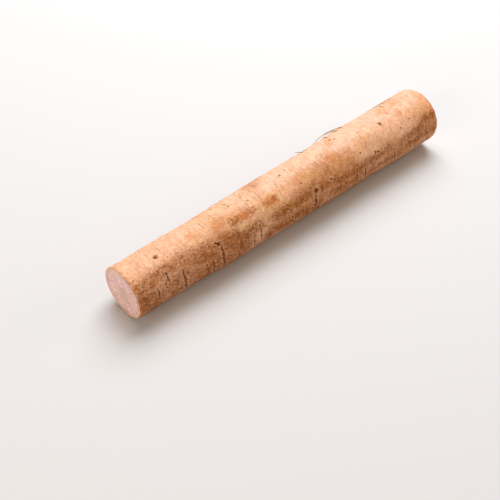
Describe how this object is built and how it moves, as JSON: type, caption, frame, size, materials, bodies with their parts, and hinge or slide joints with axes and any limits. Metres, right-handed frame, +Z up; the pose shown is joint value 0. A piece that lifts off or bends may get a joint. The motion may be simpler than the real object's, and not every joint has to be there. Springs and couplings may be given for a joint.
{
  "type": "burdock root",
  "caption": "Straight length of edible burdock root, slightly tapered and gently bowed, cut square at both ends and lying on its side.",
  "frame": {"origin": "under the middle of the root, on the surface that it lies on", "axes": "+X along the root from the thinner cut to the thicker cut, +Z up from the surface, +Y to the left of +X"},
  "size_m": [0.2, 0.0314, 0.0304],
  "materials": {
    "root_skin": "thin brown corky skin with fine cross wrinkles and scars, pale fibrous flesh at the cuts"
  },
  "bodies": {
    "root": {"burdock_root": "root_skin"}
  },
  "joints": []
}
